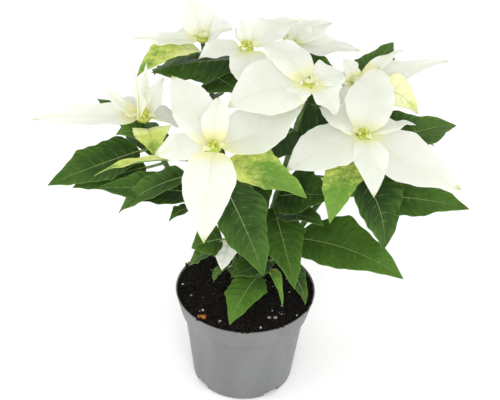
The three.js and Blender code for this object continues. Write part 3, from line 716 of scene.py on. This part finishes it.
def blade_sheet(midrib, kind, width, own, draw, materials, slot):
    """The thin sheet of one blade, with what its material reads of it. On its grid x goes from -1
    at the left margin to 1 at the right, and u from 0 at its base to 1 at its tip. It gets all of
    the slots: its upper face has the one given, and its underside will have the next."""
    blade_length = midrib.length * (1 - midrib.stalk)
    veins = max(FEWEST_VEINS, round(blade_length / kind["vein_spacing"]))
    rows = max(FEWEST_ROWS, ROWS_PER_VEIN * veins) if kind["quilt"] > 0 else FEWEST_ROWS
    bpy.ops.mesh.primitive_grid_add(x_subdivisions=kind["columns"], y_subdivisions=rows, size=2)
    piece = active()
    flat = vertices_of(piece)
    x = flat[:, 0]
    edge = np.abs(x)
    u = (flat[:, 1] + 1) / 2
    places, right, normal = midrib.at(midrib.stalk + (1 - midrib.stalk) * u)
    half = width / 2 * outline(u, kind) * lobes(u, x, kind["tooth"], draw.uniform(-1, 1))
    half = np.maximum(half, BASE_HALF_WIDTH + (TIP_HALF_WIDTH - BASE_HALF_WIDTH) * u)
    inside = np.minimum(1, 4 * u * (1 - u))  # nothing at the base and the tip
    ripple = kind["wave"] * edge * np.sin(u * RIPPLE_ALONG + x * RIPPLE_ACROSS) * inside
    frill_turns = draw.uniform(*FRILL_TURNS)
    frill_start = draw.uniform(0, TURN)
    frill = np.sin(TURN * frill_turns * u + frill_start + 1.9 * (x > 0))
    ripple += kind["wave"] * FRILL * edge ** 2 * frill * inside
    vein = veins * (u - VEIN_SLANT * edge - VEIN_SWEEP * edge ** 2)
    panel = np.sin(math.pi * (vein + 0.5)) ** 2 - 0.5
    ripple += kind["quilt"] * panel * np.sin(math.pi * edge) * inside
    drop = -TIP_DROP * np.clip((u - 0.75) / 0.25, 0, 1) ** 2
    fold = math.radians(own.get("fold", kind["fold"]))
    height = edge * half * math.sin(fold) + ripple + BLADE_LIFT + drop
    places = places + right * (x * half * math.cos(fold))[:, None] + normal * height[:, None]
    place_vertices(piece, places * MM)
    readings = {
        "along": u,
        "edge": edge,
        "from_rib": edge * half,
        "from_margin": (1 - edge) * half,
        "vein": vein + 0.5,
        # the blade's tone: on a leaf it holds painted shade and light, on a bract it lengthens the
        # yellow base
        "tone_and_painted_shade": own.get("shade", draw.uniform(-SHADE_SPREAD, SHADE_SPREAD)),
        "seed": draw.uniform(0, 3),
        "mottled": own.get("mottled", 0.0),
    }
    for name, values in readings.items():
        set_attribute(piece, name, values)
    paint_all(piece, *materials)
    piece.data.polygons.foreach_set("material_index", [slot] * len(piece.data.polygons))
    return piece


def stalk_run(midrib, radius):
    """The leaf stalk and the rib that goes on below the blade, as a tapering run."""
    end = midrib.stalk + (1 - midrib.stalk) * RIB_REACH
    run = []
    for i in range(STALK_POINTS):
        t = i / (STALK_POINTS - 1) * end
        place, _, normal = midrib.at(t)
        past_base = max(0.0, (t - midrib.stalk) / (1 - midrib.stalk))
        here = radius * (1 - RIB_THINNING * past_base ** 0.5)
        run.append((place - normal * (here + BLADE_THICKNESS / 2 - BLADE_LIFT), here))
    return run


def grown(name, sheets, runs, stalk_material, *more):
    """The sheets as closed thin blades, in one piece with their stalks and any more pieces."""
    blades = joined(sheets, name)
    thickness = BLADE_THICKNESS * MM
    apply_modifier(blades, "SOLIDIFY", thickness=thickness, offset=-1.0, material_offset=1)
    stalks = tubes(name + "_stalks", runs)
    paint_all(stalks, stalk_material)
    whole = joined([blades, stalks, *more], name)
    smooth(whole, 60)
    return whole


# ---------------------------------------------------------------- branches

PATH_POINTS = 200
STEM_POINTS = 90
STEM_SIDES = 12
STEM_BASE_RADIUS = 2.7
STEM_TOP_RADIUS = 2.0
STEM_START = 1  # how far outside the trunk's radius the middle of a stem's foot is
STEM_END = 1.5  # and how far below the cup it ends
NODE_SWELLING = 0.16  # how much thicker the stem is where a leaf joins it
NODE_LENGTH = 0.014  # and over what share of its length
BARE_NODES = (0.12, 0.24, 0.4, 0.52)  # where fallen leaves left their scars


def branch_path(branch):
    """Points along the branch's curve, with the share of its length at each."""
    end = np.array(branch["top"], float)
    end[2] -= CUP_HALF_HEIGHT + STEM_END
    spread = math.hypot(end[0], end[1])
    out = np.array([end[0], end[1], 0]) / spread
    start = out * (TRUNK_RADIUS + STEM_START)
    start[2] = branch["forks"]
    away = start + out * BRANCH_ELBOW
    away[2] += BRANCH_ELBOW * BRANCH_SLOPE
    below = end - out * BRANCH_INWARD * spread
    below[2] -= BRANCH_RISE
    t = np.linspace(0, 1, PATH_POINTS)[:, None]
    places = (1 - t) ** 3 * start + 3 * t * (1 - t) ** 2 * away
    places = places + 3 * t ** 2 * (1 - t) * below + t ** 3 * end
    steps = np.linalg.norm(np.diff(places, axis=0), axis=1)
    shares = np.concatenate([[0], np.cumsum(steps)]) / steps.sum()
    return places, shares


def point_on(path, share):
    """The point at that share of the path's length."""
    places, shares = path
    return np.array([np.interp(share, shares, places[:, i]) for i in range(3)])


def branch_stem(name, branch, path):
    """The green stem, a little swollen at each leaf and scar, from the trunk to the cup. Its green is
    painted shade: darker than a real stem's mid-green.
    """
    knots = [spec["start"] for spec in branch["leaves"]] + list(BARE_NODES)
    run = []
    for share in np.linspace(0, 1, STEM_POINTS):
        swell = sum(math.exp(-((share - knot) / NODE_LENGTH) ** 2) for knot in knots)
        radius = STEM_BASE_RADIUS + (STEM_TOP_RADIUS - STEM_BASE_RADIUS) * share
        run.append((point_on(path, share), radius * (1 + NODE_SWELLING * min(swell, 1.0))))
    stem = tubes(name, [run], STEM_SIDES)
    # painted shade: the stem is coloured dark so that it sits in the shade among the leaves
    paint_all(stem, STEM_GREEN_PAINTED_SHADE)
    smooth(stem, 50)
    return stem


LEAF_SLOTS = (LEAF_GREEN, LEAF_UNDER, LEAF_MOTTLED, MOTTLED_UNDER, BRACT_WHITE, BRACT_UNDER)
GREEN_SLOT = 0
MOTTLED_SLOT = 2
WHITE_SLOT = 4
SMALL_LEAF = 24  # a leaf no wider than this has a thinner stalk


def branch_leaves(name, branch, path, draw):
    """All leaves of one branch, with their stalks."""
    sheets = []
    runs = []
    for spec in branch["leaves"]:
        own = spec["own"]
        root = point_on(path, spec["start"])
        midrib = Midrib(root, spec["tip"], spec["bow"], own.get("roll", 0), spec["petiole"])
        slot = MOTTLED_SLOT if "mottled" in own else WHITE_SLOT if "white" in own else GREEN_SLOT
        sheets.append(blade_sheet(midrib, LEAF, spec["width"], own, draw, LEAF_SLOTS, slot))
        radius = STALK_RADIUS if spec["width"] > SMALL_LEAF else SMALL_STALK_RADIUS
        runs.append(stalk_run(midrib, radius))
    return grown(name, sheets, runs, STALK_GREEN)


BRACT_SLOTS = (BRACT_WHITE, BRACT_UNDER, INNER_YELLOW, BRACT_UNDER)
WHITE_BRACT = 0
YELLOW_BRACT = 2
BRACT_PETIOLE = 1
BRACT_STALK_RADIUS = 1.15
BRACT_FOOT_RADIUS = 1.3  # where its stalk starts inside the cup
BRACT_FOOT = 1.5  # how far out from the cup's middle and how far below its top that is


def inner_bracts(top, bloom, draw):
    """The small yellow bracts inside the ring. In a closed bloom they stand up over the flowers."""
    start = draw.uniform(0, TURN)
    sheets = []
    for i in range(bloom["inner"]):
        angle = start + TURN * (i + draw.uniform(-0.2, 0.2)) / bloom["inner"]
        out = np.array([*around(1.0, angle), 0.0])
        length = draw.uniform(*bloom["length"])
        lean = draw.uniform(*bloom["lean"])
        root = top + out * bloom["reach"] + np.array([0, 0, bloom["rise"]])
        tip = root + unit(out * lean + np.array([0, 0, 1.0])) * length
        midrib = Midrib(root, tip, bloom["bow"], draw.uniform(-15, 15), BRACT_PETIOLE)
        own = {"fold": bloom["fold"]}
        width = length * bloom["width"]
        sheets.append(blade_sheet(midrib, INNER_BRACT, width, own, draw, BRACT_SLOTS, YELLOW_BRACT))
    return sheets


def bloom_cup(top, radius):
    """The stem end that the bracts and the true flowers stand on: five-lobed, flat above and fuller
    below."""
    bpy.ops.mesh.primitive_uv_sphere_add(segments=16, ring_count=10, radius=radius * MM)
    cup = active()
    places = vertices_of(cup)
    angle = np.arctan2(places[:, 1], places[:, 0])
    above = places[:, 2] > 0
    swell = (1 + 0.08 * np.cos(5 * angle)) * np.where(above, 1.0, 1.3)
    places[:, :2] *= swell[:, None]
    places[:, 2] *= np.where(above, 0.5, 1.0)
    place_vertices(cup, places + top * MM)
    paint_all(cup, CYATHIUM_GREEN)
    return cup


def bloom_bracts(name, branch, draw):
    """The ring of bracts on their green cup, with the few small yellow ones inside it."""
    top = np.array(branch["top"], float)
    bloom = branch["bloom"]
    sheets = []
    runs = []
    for spec in branch["bracts"]:
        own = spec["own"]
        tip = np.array(spec["tip"], float)
        out = unit(np.array([tip[0] - top[0], tip[1] - top[1], 0.0]))
        root = top + out * BRACT_RING
        midrib = Midrib(root, tip, spec["bow"], own.get("roll", 0), BRACT_PETIOLE)
        sheets.append(blade_sheet(midrib, BRACT, spec["width"], own, draw, BRACT_SLOTS, WHITE_BRACT))
        foot = top + out * BRACT_FOOT - np.array([0, 0, BRACT_FOOT])
        runs.append([(foot, BRACT_FOOT_RADIUS)] + stalk_run(midrib, BRACT_STALK_RADIUS))
    sheets += inner_bracts(top, bloom, draw)
    return grown(name, sheets, runs, BRACT_STALK, bloom_cup(top, bloom["cup"]))


# ---------------------------------------------------------------- the true flowers

CYATHIUM_RADIUS = 2.0
CYATHIUM_HEIGHT = 5.0
CYATHIUM_MOUTH = 0.9  # radius of its dark mouth
MOUTH_DEPTH = 1.7
CYATHIUM_LOBES = 5
STAMENS = 5
GLAND_RADIUS = 0.95
GLAND_THICKNESS = 0.45
GLAND_HEIGHT = 0.72  # as a share of the cyathium's
GLAND_TILT = 62
CYATHIA_RING = 2.6  # how far from the bloom's middle the outer flowers stand
CYATHIA_ROUND = 5
CYATHIA_LEAN = 16
CYATHIA_SUNK = 0.9  # how deep their feet stand in the cup
MIDDLE_SIZE = 0.9


def cyathium():
    """One cyathium, modelled standing at the origin: a green urn with a lobed rim, a darker mouth
    with short stamens, and a yellow gland like a lip on one side."""
    bpy.ops.mesh.primitive_uv_sphere_add(segments=14, ring_count=10, radius=MM)
    urn = active()
    places = vertices_of(urn)
    angle = np.arctan2(places[:, 1], places[:, 0])
    height = places[:, 2] / MM
    width = CYATHIUM_RADIUS * (0.86 + 0.2 * height - 0.12 * height ** 2)
    rim = np.clip((height - 0.35) / 0.3, 0, 1)
    width = width * (1 + 0.10 * rim * np.cos(CYATHIUM_LOBES * angle))
    mouth = np.clip((height - 0.72) / 0.28, 0, 1)
    tall = CYATHIUM_HEIGHT / 2 * (1 + height) - MOUTH_DEPTH * mouth
    places[:, :2] *= width[:, None]
    places[:, 2] = tall * MM
    place_vertices(urn, places)
    paint_all(urn, CYATHIUM_GREEN, CYATHIUM_DARK)
    for face in urn.data.polygons:
        near_axis = math.hypot(face.center.x, face.center.y) < CYATHIUM_MOUTH * MM
        face.material_index = 1 if near_axis and face.center.z > CYATHIUM_HEIGHT / 2 * MM else 0
    stamens = []
    for i in range(STAMENS):
        angle = TURN * i / STAMENS
        foot = np.array([*around(0.7, angle), CYATHIUM_HEIGHT - 2.0])
        lean = np.array([*around(0.5, angle), 2.2])
        run = ((0, 0.22), (0.8, 0.2), (1, 0.42), (1.15, 0.3))  # how far along, and how thick
        stamens.append([(foot + lean * share, radius) for share, radius in run])
    filaments = tubes("stamens", stamens, 6)
    paint_all(filaments, GLAND_YELLOW)
    bpy.ops.mesh.primitive_torus_add(
        major_segments=14, minor_segments=6,
        major_radius=GLAND_RADIUS * MM, minor_radius=GLAND_THICKNESS * MM,
        location=(CYATHIUM_RADIUS * MM, 0, CYATHIUM_HEIGHT * GLAND_HEIGHT * MM),
        rotation=(0, math.radians(GLAND_TILT), 0),
    )
    gland = active()
    settle(gland)
    paint_all(gland, GLAND_YELLOW)
    whole = joined([urn, filaments, gland], "cyathium")
    smooth(whole, 60)
    return whole


def bloom_cyathia(name, branch, model, draw):
    """A cluster of cyathia on the bloom's cup: one in the middle and a ring round it."""
    x, y, z = branch["top"]
    base = Vector((x, y, z + CUP_HALF_HEIGHT - CYATHIA_SUNK))
    spots = [(0.0, 0.0, MIDDLE_SIZE)]
    start = draw.uniform(0, TURN)
    for i in range(CYATHIA_ROUND):
        spots.append((start + TURN * i / CYATHIA_ROUND, CYATHIA_RING, draw.uniform(0.65, 0.9)))
    copies = []
    for angle, reach, size in spots:
        copy = new_piece(name, model.data.copy())
        lean = Matrix.Rotation(math.radians(CYATHIA_LEAN if reach else 0), 4, "Y")
        spin = Matrix.Rotation(angle, 4, "Z")
        shift = Matrix.Translation(Vector((reach, 0, 0)) * MM)
        scale = Matrix.Scale(size * branch["bloom"]["flowers"], 4)
        copy.data.transform(Matrix.Translation(base * MM) @ spin @ shift @ lean @ scale)
        copies.append(copy)
    return joined(copies, name)


# ---------------------------------------------------------------- pot

POT_HEIGHT = 91
POT_RIM_RADIUS = 60
POT_WALL = 1.2
COLLAR_BOTTOM = 70
COLLAR_BOTTOM_RADIUS = 54.6
BODY_TOP = 67
BODY_TOP_RADIUS = 51.5
BASE_RADIUS = 43
FLOOR_THICKNESS = 1.6
FOOT_ROUNDING = 3.2
STEP_ROUNDING = 2.1
LIP_ROUNDING = 0.6
LIP_INSET = 0.15
LIP_DEPTH = 4  # below the rim, where the inside goes on straight to the collar's bottom
NOTCHES = 4
NOTCH_WIDTH = 15
NOTCH_HEIGHT = 5
NOTCH_REACH = 4
NOTCH_AZIMUTH = -53
POT_SEGMENTS = 144


def spun(name, profile, segments):
    """A solid of revolution about Z from a profile of (radius, z), from axis to axis."""
    mesh = bpy.data.meshes.new(name)
    points = [(radius * MM, 0, z * MM) for radius, z in profile]
    mesh.from_pydata(points, [(i, i + 1) for i in range(len(points) - 1)], [])
    piece = new_piece(name, mesh)
    select_only(piece)
    bpy.ops.object.mode_set(mode="EDIT")
    bpy.ops.mesh.select_all(action="SELECT")
    bpy.ops.mesh.spin(steps=segments, angle=TURN, center=(0, 0, 0), axis=(0, 0, 1))
    bpy.ops.object.mode_set(mode="OBJECT")
    face_outward(piece)
    return piece


def rounded(corner, before, after, radius, steps=4):
    """Points that round the corner of a profile, from the side of before to that of after."""
    corner, before, after = (np.array(p, float) for p in (corner, before, after))
    start = corner + unit(before - corner) * radius
    end = corner + unit(after - corner) * radius
    shares = [i / steps for i in range(steps + 1)]
    return [tuple((1 - s) ** 2 * start + 2 * s * (1 - s) * corner + s ** 2 * end) for s in shares]


def pot():
    """The thermoformed pot: base, rounded foot, tapering wall, stacking step, collar and lip, with
    the notches for drainage cut into its foot."""
    foot = (BASE_RADIUS, 0)
    step_low = (BODY_TOP_RADIUS, BODY_TOP)
    step_high = (COLLAR_BOTTOM_RADIUS, COLLAR_BOTTOM)
    rim = (POT_RIM_RADIUS, POT_HEIGHT)
    lip = (POT_RIM_RADIUS - LIP_INSET, POT_HEIGHT)
    outside = [(0, 0)]
    outside += rounded(foot, (0, 0), step_low, FOOT_ROUNDING)
    outside += rounded(step_low, foot, step_high, STEP_ROUNDING)
    outside += rounded(step_high, step_low, rim, STEP_ROUNDING)
    outside += rounded(lip, step_high, (0, POT_HEIGHT), LIP_ROUNDING)
    lean = (POT_RIM_RADIUS - COLLAR_BOTTOM_RADIUS) / (POT_HEIGHT - COLLAR_BOTTOM)
    inside = [
        (POT_RIM_RADIUS - POT_WALL, POT_HEIGHT),
        (POT_RIM_RADIUS - POT_WALL - lean * LIP_DEPTH, POT_HEIGHT - LIP_DEPTH),
        (COLLAR_BOTTOM_RADIUS - POT_WALL, COLLAR_BOTTOM),
        (BODY_TOP_RADIUS - POT_WALL, BODY_TOP),
        (BASE_RADIUS - POT_WALL + 0.2, FLOOR_THICKNESS),
        (0, FLOOR_THICKNESS),
    ]
    piece = spun("pot_shell", outside + inside, POT_SEGMENTS)
    cutters = []
    for i in range(NOTCHES):
        bpy.ops.mesh.primitive_cube_add(size=1)
        block = active()
        block.scale = (NOTCH_WIDTH * MM, NOTCH_WIDTH * MM, 2 * NOTCH_HEIGHT * MM)
        angle = math.radians(NOTCH_AZIMUTH + 360 / NOTCHES * i)
        reach = (BASE_RADIUS + NOTCH_WIDTH / 2 - NOTCH_REACH) * MM
        block.location = (*around(reach, angle), 0)
        block.rotation_euler = (0, 0, angle)
        settle(block)
        cutters.append(block)
    cutter = joined(cutters, "notch_cutters")
    apply_modifier(piece, "BOOLEAN", operation="DIFFERENCE", object=cutter, solver="EXACT")
    bpy.data.objects.remove(cutter)
    paint_all(piece, POT_PLASTIC)
    smooth(piece, 35)
    return piece


# ---------------------------------------------------------------- soil

SOIL_RADIUS = 57.5
SOIL_EDGE = 89.2
SOIL_MOUND = 2.5
SOIL_SEGMENTS = 180
SOIL_RINGS = 56
SOIL_GAP = 0.3  # between the peat and the pot
SOIL_EDGE_INSET = 0.45  # what its edge keeps clear besides, where the pot's wall leans
SOIL_FOOT_INSET = 0.4
# The peat's lumps: their height, how many fit a millimetre, the level of the noise that they are
# read at, and its octaves.
SOIL_LUMPS = ((0.9, 0.055, 3.0, 2), (1.1, 0.22, 9.0, 3), (0.5, 0.7, 5.0, 2))

CRUMBS = 1500
CRUMB_SIZES = (0.5, 0.7, 0.9, 1.2, 1.7)
CRUMB_REACH = 56.5
RIM_CRUMBS = 260
RIM_BAND = (55.5, 58.6)  # between which radii they lie
# Crumbs fallen on the lip: the azimuth of each heap, and how many lie there.
LIP_HEAPS = ((-89, 14), (-24, 22), (-60, 6), (-130, 5), (60, 5), (150, 6))
LIP_BAND = (57.6, 60.0)

PERLITE_PLACES = ((14, -50), (44, -32), (-54, 3), (-35, -31), (-30, 22), (38, 30), (5, 44))
PEBBLE_PLACES = ((21, -38), (26, -37), (-46, -12), (-8, 50), (-20, -44))
BARK_PLACES = ((-34, -40), (-37, -39))
SMALL_BITS = 26
SMALL_PERLITE = 8  # how many of the small bits are perlite; the rest are pebbles
SMALL_SPREAD = 38  # how far out the small bits lie
FIBRES = 46
FIBRE_POINTS = 6
FIBRE_STEP = 1.8
FIBRE_LIFT = 0.35
FIBRE_START = 54  # no fibre starts further out, and none goes past FIBRE_REACH
FIBRE_REACH = 56


def soil_height(x, y):
    """The height of the peat at a place, all in millimetres."""
    share = min(1.0, math.hypot(x, y) / SOIL_RADIUS)
    lumps = sum(
        height * noise.fractal(Vector((x, y, level)) * per_mm, 1.0, 2.0, octaves)
        for height, per_mm, level, octaves in SOIL_LUMPS
    )
    return SOIL_EDGE + SOIL_MOUND * (1 - share) ** 1.2 + lumps * (1 - 0.6 * share ** 6)


def soil():
    """The body of peat: a closed filling of the pot with a crumbly top."""
    edge = POT_RIM_RADIUS - POT_WALL - SOIL_GAP - SOIL_EDGE_INSET
    profile = [
        (0, FLOOR_THICKNESS + SOIL_GAP),
        (BASE_RADIUS - POT_WALL - SOIL_GAP - SOIL_FOOT_INSET, FLOOR_THICKNESS + SOIL_GAP),
        (BODY_TOP_RADIUS - POT_WALL - SOIL_GAP, BODY_TOP),
        (COLLAR_BOTTOM_RADIUS - POT_WALL - SOIL_GAP, COLLAR_BOTTOM),
    ]
    profile += [(edge * (1 - i / SOIL_RINGS), SOIL_EDGE) for i in range(SOIL_RINGS + 1)]
    piece = spun("peat_filling", profile, SOIL_SEGMENTS)
    places = vertices_of(piece)
    for place in places:
        x, y, z = place / MM
        if z > SOIL_EDGE - 1:
            place[2] = soil_height(x, y) * MM
    place_vertices(piece, places)
    paint_all(piece, PEAT)
    smooth(piece, 70)
    return piece


def scattered(name, model, spots, material):
    """Copies of a small model as one mesh. A spot is (x, y, z, size, squash) in millimetres."""
    shape = vertices_of(model) / MM
    faces = [tuple(face.vertices) for face in model.data.polygons]
    draw = random.Random(name)
    places = []
    all_faces = []
    for x, y, z, size, squash in spots:
        spin = Matrix.Rotation(draw.uniform(0, TURN), 3, "Z")
        turn = spin @ Matrix.Rotation(draw.uniform(-0.6, 0.6), 3, "X")
        uneven = 1 + np.array([draw.uniform(-0.28, 0.28) for _ in shape])[:, None]
        points = shape * uneven * (size * draw.uniform(0.8, 1.3), size, size * squash)
        points = points @ np.array(turn).T + (x, y, z)
        start = len(places)
        places.extend(map(tuple, points * MM))
        all_faces.extend(tuple(i + start for i in face) for face in faces)
    mesh = bpy.data.meshes.new(name)
    mesh.from_pydata(places, [], all_faces)
    piece = new_piece(name, mesh)
    paint_all(piece, material)
    smooth(piece, 40)
    return piece


def peat_crumbs(pebble_model):
    """Loose crumbs over the peat, thicker at the rim, and a few fallen on the pot's lip."""
    draw = random.Random("crumbs")
    spots = []
    for _ in range(CRUMBS):
        reach = CRUMB_REACH * math.sqrt(draw.random())
        x, y = around(reach, draw.uniform(0, TURN))
        size = draw.choice(CRUMB_SIZES)
        spots.append((x, y, soil_height(x, y) + size * 0.2, size, draw.uniform(0.5, 0.9)))
    for _ in range(RIM_CRUMBS):
        reach = draw.uniform(*RIM_BAND)
        x, y = around(reach, draw.uniform(0, TURN))
        spots.append((x, y, SOIL_EDGE + 0.6, draw.uniform(0.5, 1.2), 0.7))
    for azimuth, count in LIP_HEAPS:
        for _ in range(count):
            angle = math.radians(azimuth + draw.gauss(0, 4))
            x, y = around(draw.uniform(*LIP_BAND), angle)
            size = draw.uniform(0.45, 1.1)
            spots.append((x, y, POT_HEIGHT + size * draw.uniform(0.1, 0.9), size, 0.8))
    return scattered("peat_crumbs", pebble_model, spots, CRUMB)


def fibre_runs(draw):
    """Short bent fibres that lie on the peat, as runs for tubes."""
    runs = []
    for _ in range(FIBRES):
        reach = FIBRE_START * math.sqrt(draw.random())
        x, y = around(reach, draw.uniform(0, TURN))
        heading = draw.uniform(0, TURN)
        run = []
        for _ in range(FIBRE_POINTS):
            place = np.array([x, y, soil_height(x, y) + FIBRE_LIFT])
            run.append((place, draw.uniform(0.12, 0.24)))
            heading += draw.uniform(-0.6, 0.6)
            x += FIBRE_STEP * math.cos(heading)
            y += FIBRE_STEP * math.sin(heading)
            if math.hypot(x, y) > FIBRE_REACH:
                break
        if len(run) > 2:
            runs.append(run)
    return runs


def soil_bits(pebble_model):
    """Perlite, grit, pine bark and fibres that lie in the peat."""
    draw = random.Random("bits")

    def resting(places, size, squash=0.8):
        return [(x, y, soil_height(x, y) + size * 0.25, size * draw.uniform(0.8, 1.2), squash)
                for x, y in places]

    def anywhere():
        return draw.uniform(-SMALL_SPREAD, SMALL_SPREAD)

    small = [(anywhere(), anywhere()) for _ in range(SMALL_BITS)]
    fibres = tubes("peat_fibres", fibre_runs(draw), 6)
    paint_all(fibres, FIBRE)
    perlite = resting(PERLITE_PLACES, 1.2) + resting(small[:SMALL_PERLITE], 0.6)
    pebbles = resting(PEBBLE_PLACES, 1.9, 0.6) + resting(small[SMALL_PERLITE:], 0.7)
    bark = resting(BARK_PLACES, 2.2, 0.5)
    return [
        scattered("perlite_bits", pebble_model, perlite, PERLITE),
        scattered("pebble_bits", pebble_model, pebbles, PEBBLE),
        scattered("pine_bark_bits", pebble_model, bark, PINE_BARK),
        fibres,
    ]


# ---------------------------------------------------------------- trunk

TRUNK_RINGS = 26
TRUNK_SEGMENTS = 28
TRUNK_NARROWING = 0.7  # how much thinner the bare trunk is than its full radius
TRUNK_FOOT = 0.9  # how much its foot adds to that
FOOT_TOP = 88
FOOT_TAPER = 7  # height over which the foot fades out
BARK_LUMPS = 9


def trunk():
    """The short woody trunk, thicker at its foot, with the pruned top that the branches left."""
    profile = [(0, TRUNK_BOTTOM)]
    for i in range(TRUNK_RINGS + 1):
        z = TRUNK_BOTTOM + (TRUNK_TOP - TRUNK_BOTTOM) * i / TRUNK_RINGS
        foot = TRUNK_FOOT * math.exp(-(max(0, z - FOOT_TOP) / FOOT_TAPER) ** 2)
        profile.append((TRUNK_RADIUS - TRUNK_NARROWING + foot, z))
    profile += [(TRUNK_RADIUS - 1.6, TRUNK_TOP + 0.6), (0, TRUNK_TOP + 0.2)]
    piece = spun("woody_trunk", profile, TRUNK_SEGMENTS)
    places = vertices_of(piece)
    for place in places:
        lump = noise.fractal(Vector(place) / (BARK_LUMPS * MM), 1.0, 2.0, 3)
        place[:2] *= 1 + 0.09 * lump
    place_vertices(piece, places)
    paint_all(piece, BARK)
    smooth(piece, 60)
    return piece


# ---------------------------------------------------------------- the object


def build():
    """Every piece of the object, each riding on the body and standing for its node."""

    def finish(piece, slot, *nodes):
        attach(piece, "root")
        if nodes:
            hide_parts(*nodes)

    finish(pot(), "pot_plastic", "pot")
    finish(soil(), "peat", "soil")
    bpy.ops.mesh.primitive_ico_sphere_add(subdivisions=1, radius=MM)
    pebble_model = active()
    finish(peat_crumbs(pebble_model), "peat")
    for bits in soil_bits(pebble_model):
        finish(bits, "peat")
    bpy.data.objects.remove(pebble_model)
    finish(trunk(), "bark", "trunk")
    model = cyathium()
    for name, branch in PLANT.items():
        draw = random.Random(name)
        path = branch_path(branch)
        finish(branch_stem(f"stem_{name}", branch, path), "leaf")
        finish(branch_leaves(f"leaves_{name}", branch, path, draw), "leaf", f"leafy_stem_{name}")
        finish(bloom_bracts(f"bract_ring_{name}", branch, draw), "bract", f"bracts_{name}")
        finish(bloom_cyathia(f"true_flowers_{name}", branch, model, draw), "cyathia", f"cyathia_{name}")
    bpy.data.objects.remove(model)


# ---------------------------------------------------------------- camera, floor and light

IMAGE_WIDTH_PX = 500
SENSOR_WIDTH = 36
FOCAL_PX = 1520
CAMERA_TILT = 36
CAMERA_DISTANCE = 1250
CAMERA_ROLL = 2.25
CAMERA_TARGET = (1, 0, 184)
FLOOR_SIDE_M = 12

ROOM_STRENGTH = 1.05
# Softboxes: each one's place, the place it is turned to and its side, in metres, and its watts.
SOFTBOXES = {
    "key": ((-1.3, -0.7, 1.7), (0, 0, 0.2), 1.1, 1.0),
    "front": ((0.1, -1.25, 1.05), (0, 0, 0.26), 0.8, 9.5),
    "fill": ((1.5, -0.4, 0.8), (0, 0, 0.12), 1.2, 3),
    "side": ((-1.3, -0.1, 0.35), (0, 0, 0.06), 0.7, 3.6),
}


def camera():
    """The camera in front of the plant, tilted down at it and rolled a little."""
    data = bpy.data.cameras.new("camera")
    data.sensor_width = SENSOR_WIDTH
    data.lens = SENSOR_WIDTH * FOCAL_PX / IMAGE_WIDTH_PX
    piece = new_piece("camera", data)
    tilt = math.radians(CAMERA_TILT)
    back = Vector((0, -math.cos(tilt), math.sin(tilt)))
    place = (Vector(CAMERA_TARGET) + back * CAMERA_DISTANCE) * MM
    level = Matrix.Rotation(math.pi / 2 - tilt, 4, "X")
    roll = Matrix.Rotation(math.radians(CAMERA_ROLL), 4, "Z")
    piece.matrix_world = Matrix.Translation(place) @ level @ roll
    bpy.context.scene.camera = piece


def floor():
    """A plain white floor, which isn't part of the object."""
    bpy.ops.mesh.primitive_plane_add(size=FLOOR_SIDE_M)
    piece = active()
    piece.name = "studio_floor"
    paint_all(piece, FLOOR)


def lights():
    """A white room and the square softboxes."""
    world = bpy.data.worlds.new("white_room")
    world.use_nodes = True
    background = world.node_tree.nodes["Background"]
    background.inputs["Color"].default_value = (1, 1, 1, 1)
    background.inputs["Strength"].default_value = ROOM_STRENGTH
    bpy.context.scene.world = world
    for name, (place, aim, side, power) in SOFTBOXES.items():
        data = bpy.data.lights.new(name, "AREA")
        data.shape = "SQUARE"
        data.size = side
        data.energy = power
        heading = (Vector(aim) - Vector(place)).to_track_quat("-Z", "Y")
        turn = heading.to_matrix().to_4x4()
        new_piece(name, data).matrix_world = Matrix.Translation(place) @ turn


build()
camera()
floor()
lights()
bpy.context.scene.view_settings.view_transform = "Standard"
bpy.context.view_layer.update()
